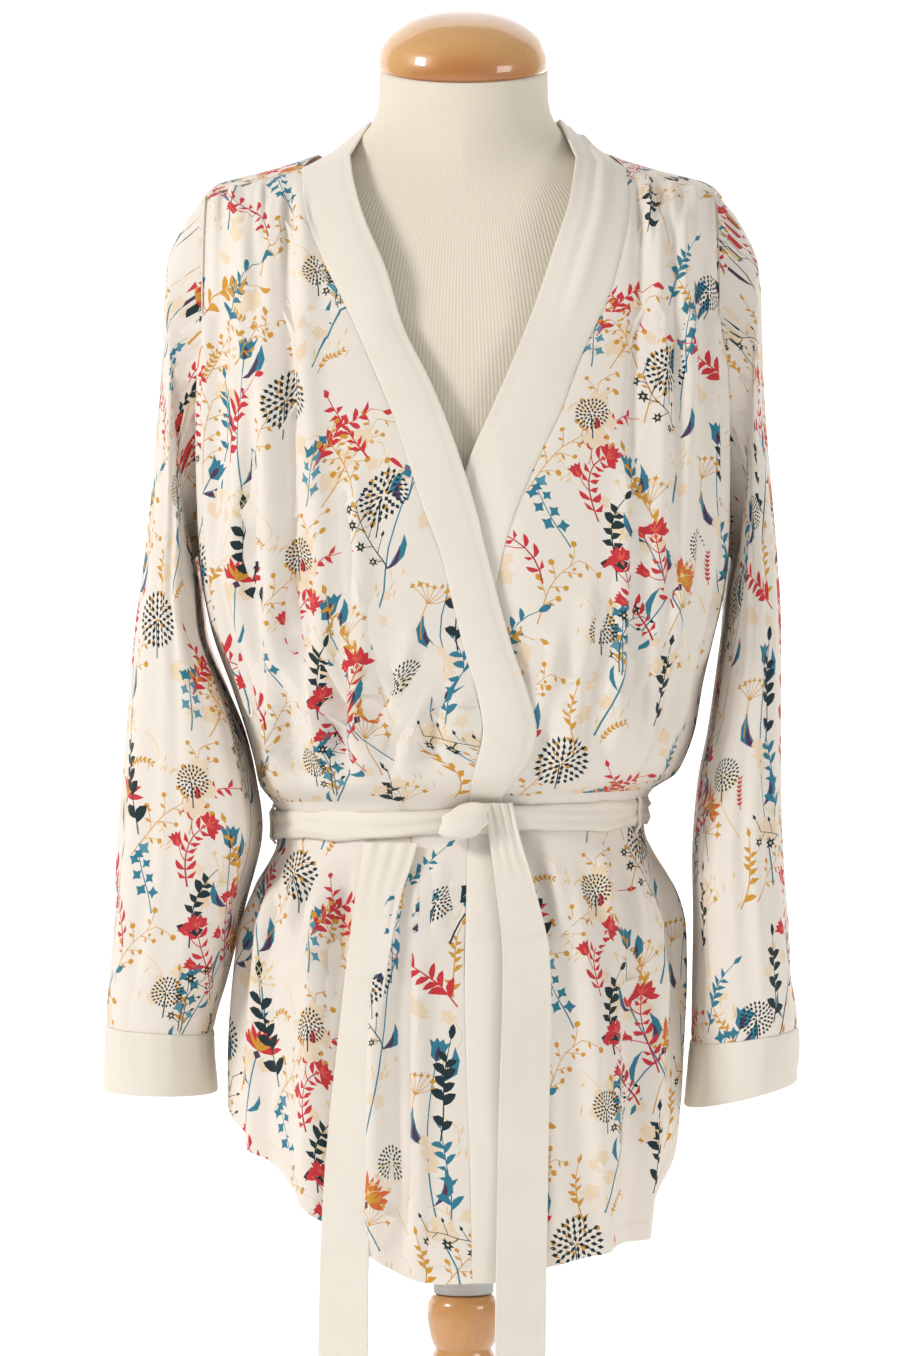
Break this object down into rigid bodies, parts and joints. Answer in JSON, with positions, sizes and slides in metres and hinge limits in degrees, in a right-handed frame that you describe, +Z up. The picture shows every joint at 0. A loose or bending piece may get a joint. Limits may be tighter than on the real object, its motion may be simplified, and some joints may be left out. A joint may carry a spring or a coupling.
{
  "type": "wrap kimono on a dress form",
  "caption": "Short belted wrap kimono with long cuffed sleeves and a shirt-tail hem, worn on a limbless dress form on a turned stand.",
  "frame": {"origin": "centre of the foot's underside, on the floor", "axes": "+Z up, the garment's front faces -Y, +X to the right of someone who looks at the front"},
  "size_m": [0.471, 0.36, 1.5638],
  "materials": {
    "printed_crepe": "soft matt viscose crepe with a wild-flower print",
    "ivory_crepe": "plain ivory crepe, doubled and pressed",
    "form_jersey": "cream fine-rib jersey cover",
    "varnished_wood": "clear gloss varnish on turned pine",
    "collar_metal": "satin grey metal"
  },
  "bodies": {
    "root": {"back": "printed_crepe", "front_right": "printed_crepe", "front_left": "printed_crepe", "sleeve_right": "printed_crepe", "sleeve_left": "printed_crepe", "belt_loop_right": "printed_crepe", "belt_loop_left": "printed_crepe", "band_right": "ivory_crepe", "band_left": "ivory_crepe", "cuff_right": "ivory_crepe", "cuff_left": "ivory_crepe", "belt": "ivory_crepe", "belt_knot": "ivory_crepe", "belt_end_1": "ivory_crepe", "belt_end_2": "ivory_crepe", "form_torso": "form_jersey", "neck_cap": "varnished_wood", "stem": "varnished_wood", "foot": "varnished_wood", "collar": "collar_metal"}
  },
  "joints": []
}
